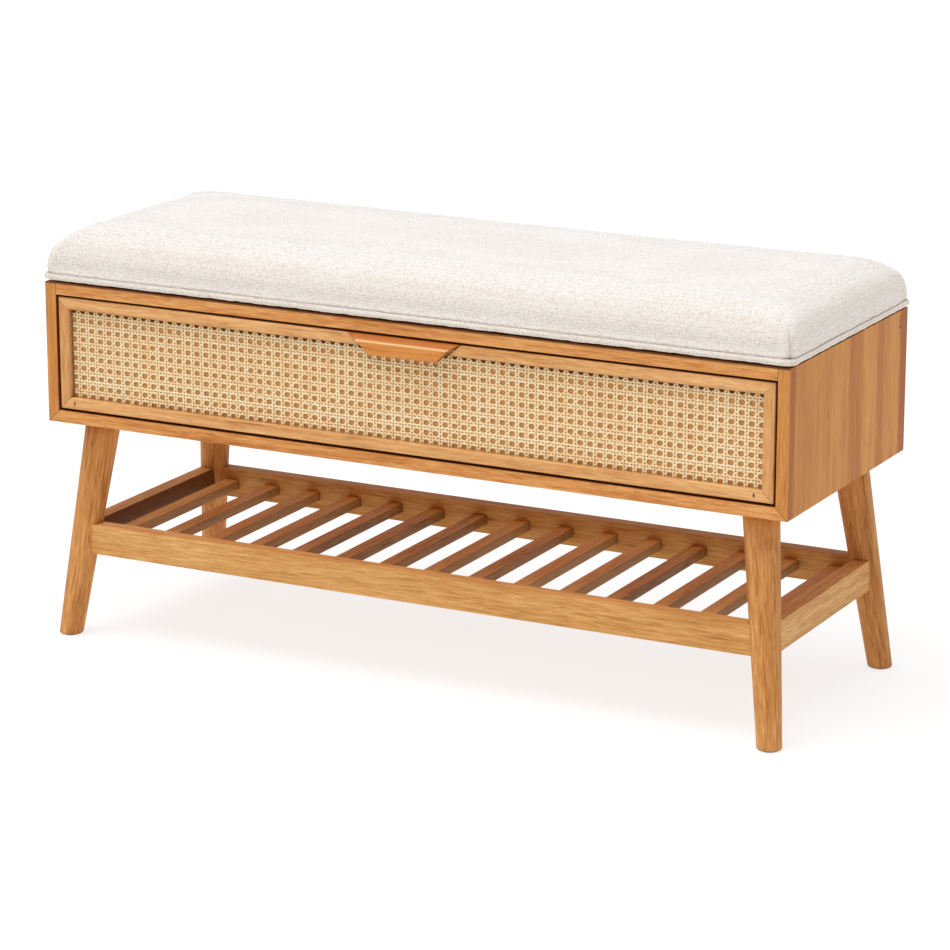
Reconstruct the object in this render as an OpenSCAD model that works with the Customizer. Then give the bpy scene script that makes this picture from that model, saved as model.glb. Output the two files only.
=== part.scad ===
// Entryway bench: a wooden case with one cane-fronted drawer, a slatted shelf between
// splayed round legs, and a piped seat cushion.
// Frame: +Z up, +X to the sitter's right seen from the front, +Y to the back.
// Origin: the middle of the footprint, on the floor. Millimetres.

/* [Case] */
// Width of the case
case_w = 1000; // [800:10:1200]
// Depth of the case, front to back
case_d = 360; // [340:5:420]
// Height of the case
case_h = 178; // [168:1:220]
// Thickness of the case boards
board_t = 15; // [14:0.5:18]
// Thickness of the back panel
back_t = 9; // [6:0.5:10]

/* [Legs] */
// Height of the legs, from the floor to the underside of the case
leg_h = 278; // [240:1:330]
// Radius of a leg at the case
leg_top_r = 22; // [20:0.5:24]
// Radius of a leg at the foot
leg_foot_r = 15; // [13:0.5:17]
// Distance of a leg's axis from the end of the case, at the top
leg_top_in_x = 52; // [46:1:60]
// Distance of a leg's axis from the front or back of the case, at the top
leg_top_in_y = 46; // [42:1:56]
// Distance of a leg's axis from the end of the case, at the floor
leg_foot_in_x = 19; // [15:1:30]
// Distance of a leg's axis from the front or back of the case, at the floor
leg_foot_in_y = 7; // [5:1:14]

/* [Shelf] */
// Height of the underside of the shelf rails
rail_z = 107; // [80:1:140]
// Height of a shelf rail's section
rail_h = 38; // [34:1:46]
// Thickness of a shelf rail
rail_t = 20; // [16:1:22]
// Number of slats
slat_count = 15; // [15]
// Width of a slat
slat_w = 20; // [14:1:26]
// Thickness of a slat
slat_t = 12; // [10:1:14]
// Distance from the top of the rails down to the slats
slat_drop = 14; // [8:1:14]
// Distance from the end of the case to the axis of the first or last slat
slat_in = 68; // [64:1:130]

/* [Drawer] */
// Gap between the drawer front and the case, all round
front_gap = 3; // [2:0.5:4.5]
// Visible width of the drawer front's frame
frame_w = 15; // [13:0.5:20]
// Depth of the drawer front's frame
frame_t = 9; // [9:0.5:12]
// Rounding of the frame's front edges
frame_round = 3; // [1:0.5:4]
// Thickness of the woven cane
cane_t = 2; // [1.5:0.5:2.5]
// Thickness of the board behind the cane
front_board_t = 12; // [10:0.5:14]
// Thickness of the drawer's sides and back
box_t = 12; // [11:0.5:13]
// Height of the drawer's sides and back
box_h = 120; // [90:1:122]
// Thickness of the drawer bottom
bottom_t = 5; // [4:0.5:6]
// How far the drawer opens
drawer_travel = 220; // [160:5:230]

/* [Pull] */
// Distance from the middle of the drawer front to the middle of the pull, to the right
pull_x = 6; // [-60:1:60]
// Length of the pull along its top edge
pull_l = 150; // [110:5:200]
// Height of the pull
pull_h = 23.5; // [21:0.5:27]
// How far the pull stands out from the drawer front
pull_out = 8; // [7:0.5:8]

/* [Cushion] */
// Height from the case to the crown of the cushion
cushion_h = 70; // [55:1:90]
// Diameter of the piping
piping_d = 9; // [6:0.5:10]
// How far the cushion stands past the ends of the case
cushion_over_x = 5; // [0:0.5:6]
// How far the cushion stands past the front and back of the case
cushion_over_y = 3.5; // [0:0.5:6]
// Corner radius of the cushion
cushion_r = 14; // [12:1:40]

/* [Hidden] */
SLATS = ["slat_01", "slat_02", "slat_03", "slat_04", "slat_05", "slat_06", "slat_07", "slat_08",
         "slat_09", "slat_10", "slat_11", "slat_12", "slat_13", "slat_14", "slat_15"];

$fn = 48;
eps = 1;

OAK = [0.84, 0.60, 0.36];
OAK_PALE = [0.90, 0.70, 0.46];
OAK_SHADE = [0.72, 0.48, 0.28];
PLY = [0.78, 0.62, 0.44];
BEECH = [0.86, 0.72, 0.52];
CANE = [0.95, 0.84, 0.62];
LINEN = [0.95, 0.93, 0.90];
STEEL = [0.70, 0.71, 0.73];
BRASS = [0.80, 0.66, 0.36];
GLIDE = [0.25, 0.24, 0.23];

// Case: heights and inner faces
case_z = leg_h;
case_top = leg_h + case_h;
half_w = case_w / 2;
half_d = case_d / 2;
in_x = half_w - board_t;
in_z0 = case_z + board_t;
in_z1 = case_top - board_t;
back_groove = 7;

// Legs: how far a leg leans, and where its axis is at the height of the shelf
glide_t = 1.2;
glide_r = 10;
lean_x = leg_foot_in_x - leg_top_in_x;
lean_y = leg_foot_in_y - leg_top_in_y;
leg_len = sqrt(leg_h * leg_h + lean_x * lean_x + lean_y * lean_y);
leg_tilt = acos(leg_h / leg_len);
leg_turn = atan2(lean_y, lean_x);
leg_taper = (leg_top_r - leg_foot_r) / leg_len;
leg_over = 30;

// Shelf
rail_mid_z = rail_z + rail_h / 2;
rail_x = half_w - leg_foot_in_x + lean_x * rail_mid_z / leg_h;
rail_y = half_d - leg_foot_in_y + lean_y * rail_mid_z / leg_h;
rail_stop = rail_t / 2 + 1.5;
slat_span = case_w - 2 * slat_in;
slat_pitch = slat_span / (slat_count - 1);
slat_house = 6;
slat_z = rail_z + rail_h - slat_drop - slat_t;
slat_len = 2 * (rail_y - rail_t / 2 + slat_house);

// Drawer front
front_w = 2 * (in_x - front_gap);
front_h = in_z1 - in_z0 - 2 * front_gap;
front_z0 = in_z0 + front_gap;
front_z1 = in_z1 - front_gap;
front_mid_z = (front_z0 + front_z1) / 2;
rabbet_w = 6;
board_y = -half_d + frame_t;
box_y0 = board_y + front_board_t;

// Drawer box: how far it stays from the back panel, and its length
box_back_gap = 21;
box_len = case_d - back_t - frame_t - front_board_t - box_back_gap;

// Drawer slides: steel channels in the space beside the drawer
slide_w = 13;
slide_len = box_len - 9;
slide_y0 = box_y0 + 1;
slide_screw_in = 20;
slide_h = 45;
slide_inner_h = 31;
slide_t = 1.2;
slide_flange = 10.5;
slide_inner_flange = 9.5;
slide_z = (in_z0 + in_z1) / 2;
cage_len = slide_len - drawer_travel;
cage_t = 0.8;
cage_web_x = in_x - 2.75;
cage_edge_x = in_x - 10;
cage_end = 8;
ball_r = 2.5;
ball_slack = 0.3;
ball_x = in_x - 6;
ball_z = 18.4;
ball_pitch = 12;
ball_count = floor((cage_len - cage_end) / ball_pitch);

// Drawer box: its faces, grooves and dowels
box_x = in_x - slide_w;
box_y1 = box_y0 + box_len;
box_z0 = in_z0 + 10;
bottom_z = box_z0 + 8;
bottom_groove = 6;
front_groove = 4;

// Pull: the slopes of its ends, how deep it sits in the frame, and the finger groove
pull_end_out = 0.64;
pull_end_down = 1.12;
pull_deep = frame_t - cane_t;
pull_fit = 1;
pull_brow = 7;
pull_under = 5.5;
pull_roof = 10;
pull_screw_x = 30;
pull_screw_z = front_z1 - 6;

// Cushion
piping_lift = 2;
piping_z = case_top + piping_lift + piping_d / 2;
cushion_w = case_w + 2 * cushion_over_x;
cushion_d = case_d + 2 * cushion_over_y;
seat_board_t = piping_lift + 9;
seat_board_in = 18;
seat_board_r = 12;
cushion_z = case_top + seat_board_t;
cushion_side_h = 24;

// Fasteners
dowel_r = 4;
dowel_y = [-120, 0, 120];
wood_screw_r = 2;
screw_clear = 0.1;

// A box given by its lowest and highest corners
module span(a, b) {
    translate(a) cube(b - a);
}

// A solid and its mirror image in the YZ plane
module both_sides() {
    children();
    mirror([1, 0, 0]) children();
}

// A solid in each of the four corners
module four_corners() {
    both_sides() {
        children();
        mirror([0, 1, 0]) children();
    }
}

// A cylinder from a, along X or along Y
module bar_x(a, len, r) {
    translate(a) rotate([0, 90, 0]) cylinder(h = len, r = r);
}

module bar_y(a, len, r) {
    translate(a) rotate([-90, 0, 0]) cylinder(h = len, r = r);
}

// A rectangle with round corners, centred
module round_rect(w, d, r) {
    square([w - 2 * r, d], center = true);
    square([w, d - 2 * r], center = true);
    for (x = [-1, 1], y = [-1, 1])
        translate([x * (w / 2 - r), y * (d / 2 - r)]) circle(r);
}

// Points of the arc that rounds corner b of the path a, b, c
function unit(v) = v / norm(v);
function round_corner(a, b, c, r, n = 6) =
    let (u = unit(a - b), v = unit(c - b), half = acos(u * v) / 2,
         mid = b + unit(u + v) * r / sin(half),
         from = b + u * r / tan(half) - mid, to = b + v * r / tan(half) - mid,
         a0 = atan2(from[1], from[0]), turn = atan2(to[1], to[0]) - a0,
         sweep = (turn + 540) % 360 - 180)
    [for (i = [0:n]) mid + r * [cos(a0 + sweep * i / n), sin(a0 + sweep * i / n)]];

// ---------------------------------------------------------------- case

module mitred_side() {
    difference() {
        translate([0, half_d, 0]) rotate([90, 0, 0]) linear_extrude(case_d)
            polygon([[half_w, case_z], [half_w, case_top], [in_x, case_top], [in_x, in_z0]]);
        back_space();
        dowel_holes();
    }
}

module back_space() {
    span([-in_x - back_groove, half_d - back_t, in_z0 - back_groove],
         [in_x + back_groove, half_d, in_z1 + back_groove]);
}

module left_side_panel() {
    color(OAK) difference() {
        mirror([1, 0, 0]) mitred_side();
        mirror([1, 0, 0]) slide_screws(in_x, 1, screw_clear);
    }
}

module right_side_panel() {
    color(OAK) difference() {
        mitred_side();
        slide_screws(in_x, 1, screw_clear);
    }
}

module case_top_panel() {
    color(OAK) difference() {
        span([-in_x, -half_d, in_z1], [in_x, half_d, case_top]);
        back_space();
        dowel_holes();
        seat_screw_set(screw_clear);
    }
}

module case_bottom_panel() {
    color(OAK) difference() {
        translate([0, half_d, 0]) rotate([90, 0, 0]) linear_extrude(case_d)
            polygon([[-half_w, case_z], [half_w, case_z], [in_x, in_z0], [-in_x, in_z0]]);
        back_space();
        dowel_holes();
        leg_bolt_set(screw_clear);
    }
}

module case_back_panel() {
    color(PLY) back_space();
}

// Dowels across the two butt joints at the top and the two mitres at the bottom
module dowel_set(slack) {
    top_end = 6;
    top_len = 28;
    mitre_len = 12;
    mitre_dowel_r = 3;
    both_sides() for (y = dowel_y) {
        bar_x([half_w - top_end - top_len, y, case_top - board_t / 2], top_len, dowel_r + slack);
        translate([half_w - board_t / 2, y, case_z + board_t / 2]) rotate([0, 45, 0])
            cylinder(h = mitre_len, r = mitre_dowel_r + slack, center = true);
    }
}

module dowel_holes() {
    dowel_set(screw_clear);
}

module case_dowels() {
    color(BEECH) dowel_set(0);
}

// ---------------------------------------------------------------- legs

// The cone's seam is turned away from the rails' mortises
module leg_axis_cone() {
    translate([half_w - leg_foot_in_x, half_d - leg_foot_in_y, 0])
        rotate([0, leg_tilt, leg_turn]) rotate(180) translate([0, 0, -leg_over])
            cylinder(h = leg_len + 2 * leg_over, r1 = leg_foot_r - leg_taper * leg_over,
                     r2 = leg_top_r + leg_taper * leg_over);
}

module leg() {
    difference() {
        intersection() {
            leg_axis_cone();
            span([0, 0, glide_t], [case_w, case_d, leg_h]);
        }
        rail_bar_x(rail_y);
        rail_bar_y(rail_x);
        rail_dowel_set(screw_clear);
        leg_bolt_set(screw_clear);
        leg_insert_set(screw_clear);
        glide_pins(screw_clear);
    }
}

module rear_right_leg() {
    color(OAK) leg();
}

module rear_left_leg() {
    color(OAK) mirror([1, 0, 0]) leg();
}

module front_right_leg() {
    color(OAK) mirror([0, 1, 0]) leg();
}

module front_left_leg() {
    color(OAK) mirror([1, 0, 0]) mirror([0, 1, 0]) leg();
}

// Countersunk bolts from inside the case, into threaded inserts in the legs
module leg_bolt_set(slack) {
    bolt_r = 4;
    bolt_len = 45;
    head_r = 8;
    head_h = 4.5;
    four_corners() translate([half_w - leg_top_in_x, half_d - leg_top_in_y, in_z0]) {
        translate([0, 0, -bolt_len - slack]) cylinder(h = bolt_len + slack, r = bolt_r + slack);
        translate([0, 0, -head_h]) cylinder(h = head_h, r1 = bolt_r + slack, r2 = head_r + slack);
    }
}

module leg_bolts() {
    socket_r = 2.9;
    socket_deep = 3;
    color(STEEL) difference() {
        leg_bolt_set(0);
        four_corners() translate([half_w - leg_top_in_x, half_d - leg_top_in_y,
                                  in_z0 - socket_deep])
            cylinder(h = socket_deep + eps, r = socket_r, $fn = 6);
    }
}

module leg_insert_set(slack) {
    insert_r = 6.5;
    insert_len = 20;
    four_corners() translate([half_w - leg_top_in_x, half_d - leg_top_in_y,
                              leg_h - insert_len - 1 - slack])
        cylinder(h = insert_len + 2 * slack, r = insert_r + slack);
}

module leg_inserts() {
    color(BRASS) difference() {
        leg_insert_set(0);
        leg_bolt_set(screw_clear);
    }
}

module glide_pins(slack) {
    pin_r = 1.5;
    pin_len = 12;
    four_corners() translate([half_w - leg_foot_in_x, half_d - leg_foot_in_y, 0])
        cylinder(h = glide_t + pin_len, r = pin_r + slack);
}

module foot_glides() {
    color(GLIDE) {
        glide_pins(0);
        four_corners() translate([half_w - leg_foot_in_x, half_d - leg_foot_in_y, 0])
            cylinder(h = glide_t, r = glide_r);
    }
}

// ---------------------------------------------------------------- shelf

module rail_bar_x(y) {
    span([-rail_x + rail_stop, y - rail_t / 2, rail_z],
         [rail_x - rail_stop, y + rail_t / 2, rail_z + rail_h]);
}

module rail_bar_y(x) {
    span([x - rail_t / 2, -rail_y + rail_stop, rail_z],
         [x + rail_t / 2, rail_y - rail_stop, rail_z + rail_h]);
}

module long_rail(y) {
    color(OAK) difference() {
        rail_bar_x(y);
        for (i = [0:slat_count - 1]) slat_bar(i);
        rail_dowel_set(screw_clear);
    }
}

module short_rail(x) {
    color(OAK) difference() {
        rail_bar_y(x);
        rail_dowel_set(screw_clear);
    }
}

module shelf_front_rail() {
    long_rail(-rail_y);
}

module shelf_back_rail() {
    long_rail(rail_y);
}

module shelf_left_rail() {
    short_rail(-rail_x);
}

module shelf_right_rail() {
    short_rail(rail_x);
}

// One dowel in each end of each rail, at two heights so that they pass in the leg
module rail_dowel_set(slack) {
    dowel_len = 30;
    in_leg = 8;
    rise = 8;
    four_corners() {
        bar_x([rail_x - rail_stop + in_leg - dowel_len, rail_y, rail_mid_z + rise],
              dowel_len, dowel_r + slack);
        bar_y([rail_x, rail_y - rail_stop + in_leg - dowel_len, rail_mid_z - rise],
              dowel_len, dowel_r + slack);
    }
}

module rail_dowels() {
    color(BEECH) rail_dowel_set(0);
}

module slat_bar(i) {
    translate([i * slat_pitch - slat_span / 2 - slat_w / 2, -slat_len / 2, slat_z])
        cube([slat_w, slat_len, slat_t]);
}

module slat(i) {
    color(OAK_SHADE) slat_bar(i);
}

// ---------------------------------------------------------------- drawer slides

// Countersunk screws of one slide, from its web at x into the wood beside it
module slide_screws(x, way, slack) {
    head_r = 3.4;
    screw_len = 9;
    for (y = [slide_screw_in, slide_len / 2 - slide_screw_in, slide_len - slide_screw_in])
        translate([x - way * slide_t, slide_y0 + y, slide_z])
            rotate([0, way * 90, 0]) {
                cylinder(h = screw_len + slack, r = wood_screw_r + slack);
                cylinder(h = slide_t, r1 = head_r + slack, r2 = wood_screw_r + slack);
            }
}

// A channel of height h, open towards -X (way 1) or +X (way -1), its web against x
module channel(x, way, h, flange) {
    z0 = slide_z - h / 2;
    y1 = slide_y0 + slide_len;
    web = [x - way * slide_t, x];
    lip = [x - way * flange, x];
    span([min(web), slide_y0, z0], [max(web), y1, z0 + h]);
    span([min(lip), slide_y0, z0], [max(lip), y1, z0 + slide_t]);
    span([min(lip), slide_y0, z0 + h - slide_t], [max(lip), y1, z0 + h]);
}

module outer_slide() {
    difference() {
        channel(in_x, 1, slide_h, slide_flange);
        slide_screws(in_x, 1, screw_clear);
    }
}

module inner_slide() {
    difference() {
        channel(box_x, -1, slide_inner_h, slide_inner_flange);
        slide_screws(box_x, -1, screw_clear);
    }
}

module left_outer_slide() {
    color(STEEL) mirror([1, 0, 0]) outer_slide();
}

module right_outer_slide() {
    color(STEEL) outer_slide();
}

module left_inner_slide() {
    color(STEEL) mirror([1, 0, 0]) inner_slide();
}

module right_inner_slide() {
    color(STEEL) inner_slide();
}

module case_slide_screws() {
    color(STEEL) both_sides() slide_screws(in_x, 1, 0);
}

module drawer_slide_screws() {
    color(STEEL) both_sides() slide_screws(box_x, -1, 0);
}

// The balls of one slide, in two rows, held by the cage at its rear position
module balls(slack) {
    y1 = slide_y0 + drawer_travel / 2 + cage_end;
    for (i = [0:ball_count - 1], z = [-ball_z, ball_z])
        translate([ball_x, y1 + i * ball_pitch, slide_z + z]) {
            if (slack > 0) cylinder(h = 4, r = ball_r + slack, center = true);
            else sphere(ball_r, $fn = 24);
        }
}

module ball_cage() {
    y0 = slide_y0 + drawer_travel / 2;
    y1 = y0 + cage_len;
    top = ball_z + cage_t / 2;
    difference() {
        union() {
            span([cage_web_x, y0, slide_z - top], [cage_web_x + cage_t, y1, slide_z + top]);
            for (z = [-ball_z, ball_z])
                span([cage_edge_x, y0, slide_z + z - cage_t / 2],
                     [cage_web_x + cage_t, y1, slide_z + z + cage_t / 2]);
        }
        balls(ball_slack);
    }
}

module left_ball_cage() {
    color(BRASS) mirror([1, 0, 0]) ball_cage();
}

module right_ball_cage() {
    color(BRASS) ball_cage();
}

module slide_balls() {
    color(STEEL) both_sides() balls(0);
}

// ---------------------------------------------------------------- drawer

// Section of a frame member: depth from the front, height from its outer edge
module frame_profile() {
    translate([frame_round, 0]) square([frame_t - frame_round, frame_w]);
    translate([0, frame_round]) square([frame_t, frame_w - 2 * frame_round]);
    for (z = [frame_round, frame_w - frame_round])
        translate([frame_round, z]) circle(frame_round);
}

// A frame member lying along X at the origin: its outer edge is at z = 0, its ends
// are mitred, and a rabbet for the cane runs along the back of its inner edge
module frame_member(len) {
    difference() {
        intersection() {
            translate([0, frame_t, 0]) rotate([90, 0, 0]) linear_extrude(frame_t)
                polygon([[-len / 2, 0], [len / 2, 0], [len / 2 - frame_w, frame_w],
                         [-len / 2 + frame_w, frame_w]]);
            translate([-len / 2, 0, 0]) rotate([90, 0, 90]) linear_extrude(len)
                frame_profile();
        }
        span([-len, frame_t - cane_t, frame_w - rabbet_w], [len, frame_t + eps, frame_w + eps]);
    }
}

module frame_bottom_rail() {
    color(OAK_PALE) translate([0, -half_d, front_z0]) frame_member(front_w);
}

module frame_top_rail() {
    color(OAK_PALE) difference() {
        translate([0, -half_d, front_z1]) mirror([0, 0, 1]) frame_member(front_w);
        pull_outline(pull_fit, pull_deep, eps);
        pull_screw_set(screw_clear);
    }
}

module frame_right_stile() {
    color(OAK_PALE) translate([front_w / 2, -half_d, front_mid_z]) rotate([0, -90, 0])
        frame_member(front_h);
}

module frame_left_stile() {
    color(OAK_PALE) mirror([1, 0, 0]) translate([front_w / 2, -half_d, front_mid_z])
        rotate([0, -90, 0]) frame_member(front_h);
}

module cane_panel() {
    cane_in = frame_w - rabbet_w;
    color(CANE) span([-front_w / 2 + cane_in, board_y - cane_t, front_z0 + cane_in],
                     [front_w / 2 - cane_in, board_y, front_z1 - cane_in]);
}

module drawer_front_board() {
    color(PLY) difference() {
        span([-front_w / 2, board_y, front_z0], [front_w / 2, box_y0, front_z1]);
        bottom_sheet();
        drawer_dowel_set(screw_clear);
        pull_screw_set(screw_clear);
    }
}

module drawer_side() {
    difference() {
        span([box_x - box_t, box_y0, box_z0], [box_x, box_y1, box_z0 + box_h]);
        bottom_sheet();
        drawer_dowel_set(screw_clear);
        slide_screws(box_x, -1, screw_clear);
    }
}

module drawer_right_side() {
    color(PLY) drawer_side();
}

module drawer_left_side() {
    color(PLY) mirror([1, 0, 0]) drawer_side();
}

module drawer_back() {
    color(PLY) difference() {
        span([-box_x + box_t, box_y1 - box_t, box_z0], [box_x - box_t, box_y1, box_z0 + box_h]);
        bottom_sheet();
        drawer_dowel_set(screw_clear);
    }
}

module bottom_sheet() {
    span([-box_x + box_t - bottom_groove, box_y0 - front_groove, bottom_z],
         [box_x - box_t + bottom_groove, box_y1 - box_t + bottom_groove, bottom_z + bottom_t]);
}

module drawer_bottom() {
    color(PLY) bottom_sheet();
}

// Dowels that hold the sides to the front board and to the back
module drawer_dowel_set(slack) {
    small_dowel_r = 3;
    small_dowel_len = 24;
    deep = 8;
    dowel_in = 24;
    both_sides() for (z = [box_z0 + dowel_in, box_z0 + box_h - dowel_in]) {
        bar_y([box_x - box_t / 2, box_y0 - deep, z], small_dowel_len, small_dowel_r + slack);
        bar_x([box_x - box_t + deep - small_dowel_len, box_y1 - box_t / 2, z],
              small_dowel_len, small_dowel_r + slack);
    }
}

module drawer_dowels() {
    color(BEECH) drawer_dowel_set(0);
}

// ---------------------------------------------------------------- pull

// The pull's front outline, sunk into the frame by deep and standing up by over
module pull_outline(grow, deep, over) {
    half = pull_l / 2 + grow;
    low = half - pull_end_down * pull_h;
    high = half + pull_end_down * over;
    translate([pull_x, -half_d + deep, front_z1]) rotate([90, 0, 0])
        linear_extrude(deep + pull_out + eps)
            polygon([[-low, -pull_h], [low, -pull_h], [high, over], [-high, over]]);
}

// Side profile: depth in front of the drawer face, height above its top edge
module pull_profile() {
    brow = [pull_out, -pull_brow];
    chin = [pull_under, -pull_h];
    heel = [2, -pull_h];
    vault = [2, -pull_roof];
    polygon(concat(
        [[-pull_deep, 0]],
        round_corner([-pull_deep, 0], [0, 0], brow, 4),
        round_corner([0, 0], brow, chin, 3),
        round_corner(brow, chin, heel, 1.5),
        [heel],
        round_corner(heel, vault, [-pull_deep, -pull_roof], 2.5),
        [[-pull_deep, -pull_roof]]));
}

module drawer_pull() {
    end_turn = atan(pull_end_out);
    end_drop = atan(pull_end_down / sqrt(1 + pull_end_out * pull_end_out));
    big = 200;
    color(OAK) difference() {
        intersection() {
            translate([pull_x + pull_l, -half_d, front_z1]) rotate([90, 0, -90])
                linear_extrude(2 * pull_l) pull_profile();
            pull_outline(0, pull_deep, 0);
        }
        translate([pull_x, 0, 0]) both_sides() translate([pull_l / 2, -half_d, front_z1])
            rotate([0, end_drop, -end_turn]) translate([0, -big / 2, -big / 2])
                cube(big);
        pull_screw_set(screw_clear);
    }
}

// Screws from inside the drawer, through the front board, into the pull
module pull_screw_set(slack) {
    screw_len = 24;
    head_r = 4;
    head_h = 2.5;
    for (x = [pull_x - pull_screw_x, pull_x + pull_screw_x]) {
        bar_y([x, box_y0 - screw_len - slack, pull_screw_z], screw_len + slack,
              wood_screw_r + slack);
        bar_y([x, box_y0, pull_screw_z], head_h, head_r);
    }
}

module pull_screws() {
    color(STEEL) pull_screw_set(0);
}

// ---------------------------------------------------------------- seat

module seat_board() {
    color(PLY) difference() {
        translate([0, 0, case_top]) linear_extrude(seat_board_t)
            round_rect(cushion_w - 2 * seat_board_in, cushion_d - 2 * seat_board_in, seat_board_r);
        seat_screw_set(screw_clear);
    }
}

// The pad: straight sides, then a crown that rises towards the middle
module seat_cushion() {
    slab = 1;
    crown_in = 60;
    shoulder_in = 14;
    shoulder_h = cushion_side_h + 18;
    crown_h = case_top + cushion_h - cushion_z;
    color(LINEN) translate([0, 0, cushion_z]) hull() {
        linear_extrude(cushion_side_h) round_rect(cushion_w, cushion_d, cushion_r, $fn = 32);
        linear_extrude(shoulder_h)
            round_rect(cushion_w - 2 * shoulder_in, cushion_d - 2 * shoulder_in, cushion_r);
        translate([0, 0, crown_h - slab]) linear_extrude(slab)
            round_rect(cushion_w - 2 * crown_in, cushion_d - 2 * crown_in, cushion_r);
    }
}

module cushion_piping() {
    r = piping_d / 2;
    bend = cushion_r - r;
    x = cushion_w / 2 - r;
    y = cushion_d / 2 - r;
    color(LINEN) translate([0, 0, piping_z]) {
        for (s = [-1, 1]) {
            bar_x([-x + bend, s * y, 0], 2 * (x - bend), r);
            bar_y([s * x, -y + bend, 0], 2 * (y - bend), r);
        }
        four_corners() translate([x - bend, y - bend, 0])
            rotate_extrude(angle = 90) translate([bend, 0]) circle(r);
    }
}

// Screws from inside the case, through the top panel, into the seat board
module seat_screw_set(slack) {
    screw_len = 22;
    head_r = 4.5;
    head_h = 2.5;
    screw_x = half_w - 120;
    screw_y = half_d - 70;
    for (x = [-screw_x, 0, screw_x], y = [-screw_y, screw_y]) translate([x, y, in_z1]) {
        cylinder(h = screw_len + slack, r = wood_screw_r + slack);
        translate([0, 0, -head_h]) cylinder(h = head_h, r = head_r);
    }
}

module seat_screws() {
    color(STEEL) seat_screw_set(0);
}

// ---------------------------------------------------------------- nodes

left_side_panel();
right_side_panel();
case_top_panel();
case_bottom_panel();
case_back_panel();
case_dowels();
seat_board();
seat_cushion();
cushion_piping();
seat_screws();
front_left_leg();
front_right_leg();
rear_left_leg();
rear_right_leg();
leg_bolts();
leg_inserts();
foot_glides();
shelf_front_rail();
shelf_back_rail();
shelf_left_rail();
shelf_right_rail();
rail_dowels();
for (i = [0:slat_count - 1]) slat(i);
left_outer_slide();
right_outer_slide();
case_slide_screws();
left_ball_cage();
right_ball_cage();
slide_balls();
left_inner_slide();
right_inner_slide();
drawer_slide_screws();
frame_top_rail();
frame_bottom_rail();
frame_left_stile();
frame_right_stile();
cane_panel();
drawer_front_board();
drawer_left_side();
drawer_right_side();
drawer_back();
drawer_bottom();
drawer_dowels();
drawer_pull();
pull_screws();
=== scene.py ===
"""Entryway bench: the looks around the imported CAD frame. Metres, same frame as the CAD."""
import math
import random

import bpy
import numpy as np
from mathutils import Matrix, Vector, noise


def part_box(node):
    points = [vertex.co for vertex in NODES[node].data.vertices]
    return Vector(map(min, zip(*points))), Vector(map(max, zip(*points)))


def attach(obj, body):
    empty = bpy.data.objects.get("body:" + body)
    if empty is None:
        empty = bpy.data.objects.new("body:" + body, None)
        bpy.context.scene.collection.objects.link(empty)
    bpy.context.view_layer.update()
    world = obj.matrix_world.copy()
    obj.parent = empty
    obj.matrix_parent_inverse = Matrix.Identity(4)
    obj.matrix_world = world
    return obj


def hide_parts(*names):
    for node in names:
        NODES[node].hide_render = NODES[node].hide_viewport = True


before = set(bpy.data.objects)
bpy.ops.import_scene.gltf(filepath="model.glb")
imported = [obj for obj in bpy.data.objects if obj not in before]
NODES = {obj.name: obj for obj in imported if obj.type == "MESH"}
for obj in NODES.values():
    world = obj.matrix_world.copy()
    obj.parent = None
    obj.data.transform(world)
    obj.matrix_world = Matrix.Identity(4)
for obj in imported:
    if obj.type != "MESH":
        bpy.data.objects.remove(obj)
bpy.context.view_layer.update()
RNG = random.Random(41)
MM = 0.001


# ---- Camera: the photograph's angle ----------------------------------------------------------

CAMERA_AT = (2.07605, -3.96441, 1.44922)
CAMERA_YAW = 27.56
CAMERA_PITCH = 15.28
CAMERA_LENS = 142.15


def make_camera():
    data = bpy.data.cameras.new("camera")
    data.sensor_width = 36
    data.lens = CAMERA_LENS
    camera = bpy.data.objects.new("camera", data)
    bpy.context.scene.collection.objects.link(camera)
    camera.location = CAMERA_AT
    camera.rotation_euler = (math.radians(90 - CAMERA_PITCH), 0, math.radians(CAMERA_YAW))
    bpy.context.scene.camera = camera


# ---- Node helpers ----------------------------------------------------------------------------

def tone(red, green, blue):
    """A colour given as 0-255 screen values, as the linear RGBA that a shader takes."""
    def linear(value):
        value /= 255
        return value / 12.92 if value <= 0.04045 else ((value + 0.055) / 1.055) ** 2.4
    return (linear(red), linear(green), linear(blue), 1.0)


def grey(value):
    return (value, value, value, 1.0)


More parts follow.
